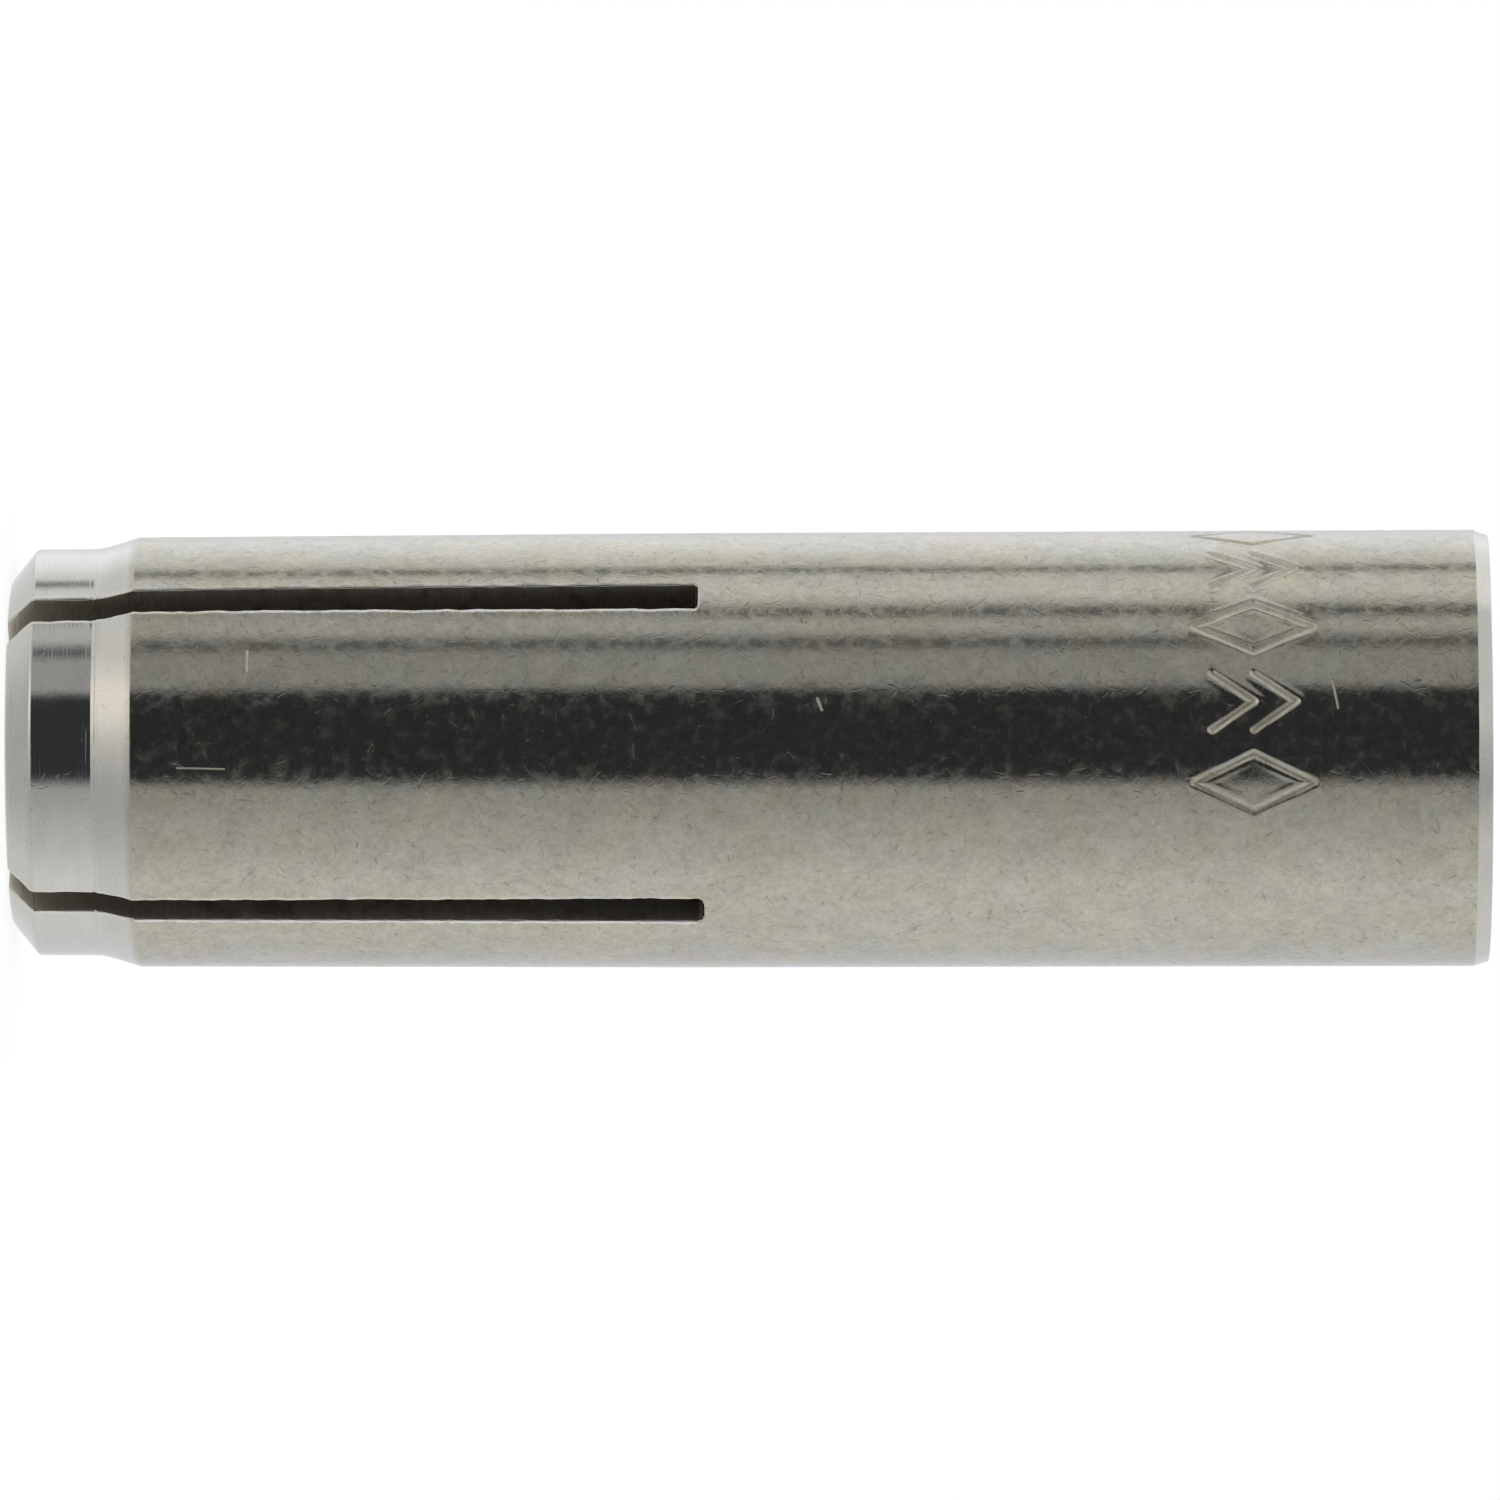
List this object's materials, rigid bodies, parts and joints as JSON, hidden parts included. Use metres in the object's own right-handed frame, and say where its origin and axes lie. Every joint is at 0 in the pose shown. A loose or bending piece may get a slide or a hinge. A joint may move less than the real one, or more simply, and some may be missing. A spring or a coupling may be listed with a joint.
{
  "type": "drop-in anchor",
  "caption": "Steel drop-in anchor: a smooth tube with a metric internal thread at its mouth, a slotted expansion end, and an internal cone plug that spreads the legs when it is driven down.",
  "frame": {"origin": "centre of the expansion end's face, which the sleeve stands on", "axes": "+Z along the bore's axis, from the expansion end up to the threaded mouth; the slots lie on the diagonals between X and Y"},
  "size_m": [0.0148, 0.0148, 0.05],
  "materials": {
    "sleeve_steel": "turned stainless steel, tumbled to a satin with fine random scratches",
    "plug_steel": "dull turned stainless steel"
  },
  "bodies": {
    "sleeve": {"sleeve": "sleeve_steel"},
    "plug": {"expander_plug": "plug_steel"}
  },
  "joints": [
    {"name": "plug_drive", "type": "slide", "parent": "sleeve", "child": "plug", "axis": [0, 0, -1], "range_m": [0, 0.004]}
  ]
}
